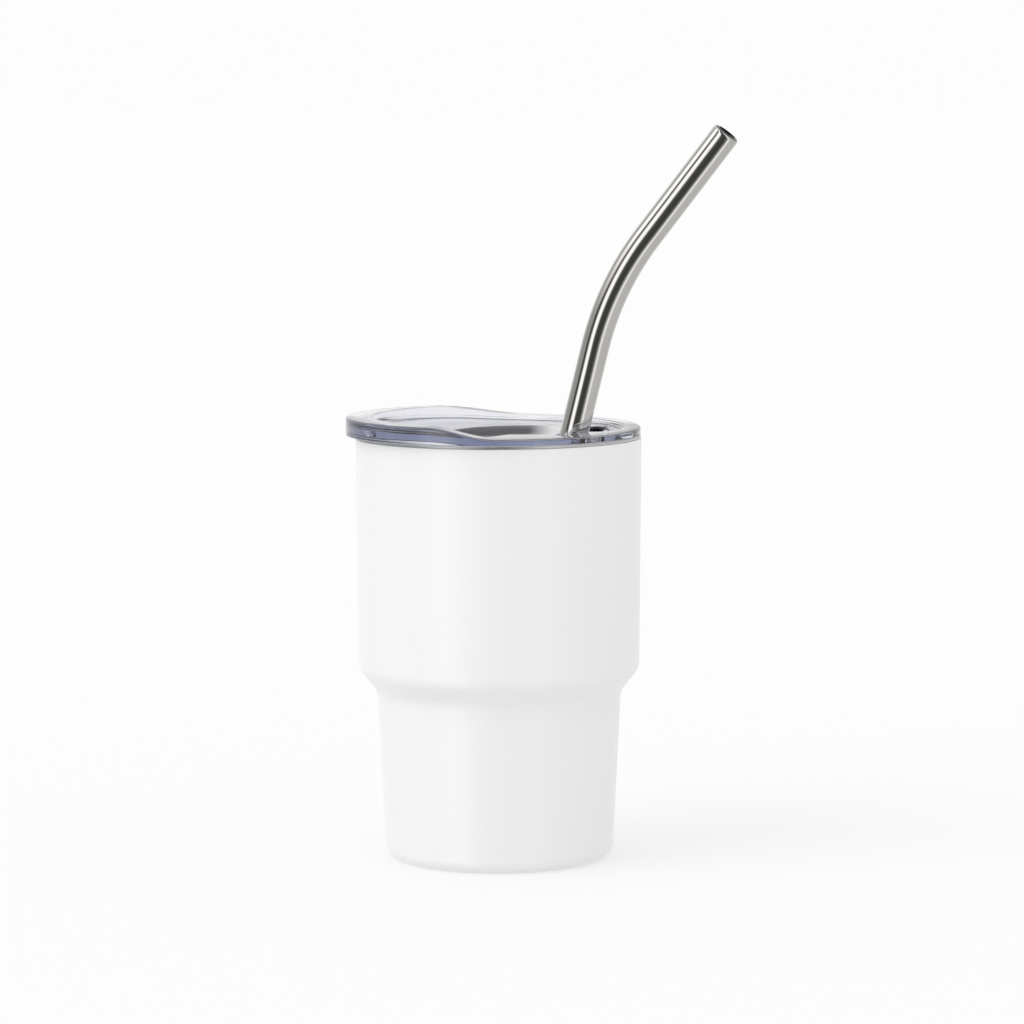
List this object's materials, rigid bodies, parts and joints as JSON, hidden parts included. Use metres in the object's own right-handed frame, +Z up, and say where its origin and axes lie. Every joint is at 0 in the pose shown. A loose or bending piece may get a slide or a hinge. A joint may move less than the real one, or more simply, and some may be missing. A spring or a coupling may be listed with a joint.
{
  "type": "insulated sipping cup with lid and straw",
  "caption": "Small stepped double-wall steel cup with a clear press-in lid, a sip slot, a silicone seal ring and a bent steel straw leaning in the lid.",
  "frame": {"origin": "centre of the flat resting face under the cup, on the cup's axis", "axes": "+Z up along the cup's axis, +X towards the side the straw leans to and the lid's low sip edge, -X towards the lid's thick lip, -Y towards the viewer's side"},
  "size_m": [0.081, 0.0618, 0.1543],
  "materials": {
    "white_coat": "satin white powder coat with a very fine texture",
    "brushed_steel": "satin brushed",
    "polished_steel": "polished stainless with faint draw lines",
    "clear_plastic": "clear gloss moulded plastic with a faint blue-violet tint",
    "silicone": "translucent matte silicone",
    "sealing_glass": "fused sealing glass",
    "getter_alloy": "pressed metal powder"
  },
  "bodies": {
    "cup": {"outer_shell": "white_coat", "inner_liner": "brushed_steel", "vacuum_plate": "brushed_steel", "seal_bead": "sealing_glass", "base_cover": "brushed_steel", "getter_holder": "brushed_steel", "getter_pellet": "getter_alloy"},
    "seal_ring": {"lid_gasket": "silicone"},
    "lid": {"lid_body": "clear_plastic"},
    "straw": {"straw": "polished_steel"}
  },
  "joints": [
    {"name": "lid_lift", "type": "slide", "parent": "cup", "child": "seal_ring", "axis": [0, 0, 1], "range_m": [0, 0.1]},
    {"name": "lid_turn", "type": "hinge", "parent": "seal_ring", "child": "lid", "pos_m": [0, 0, 0.0865], "axis": [0, 0, 1], "continuous": true},
    {"name": "straw_slide", "type": "slide", "parent": "lid", "child": "straw", "axis": [0.2339, -0.0583, 0.9705], "range_m": [0, 0.1]}
  ]
}
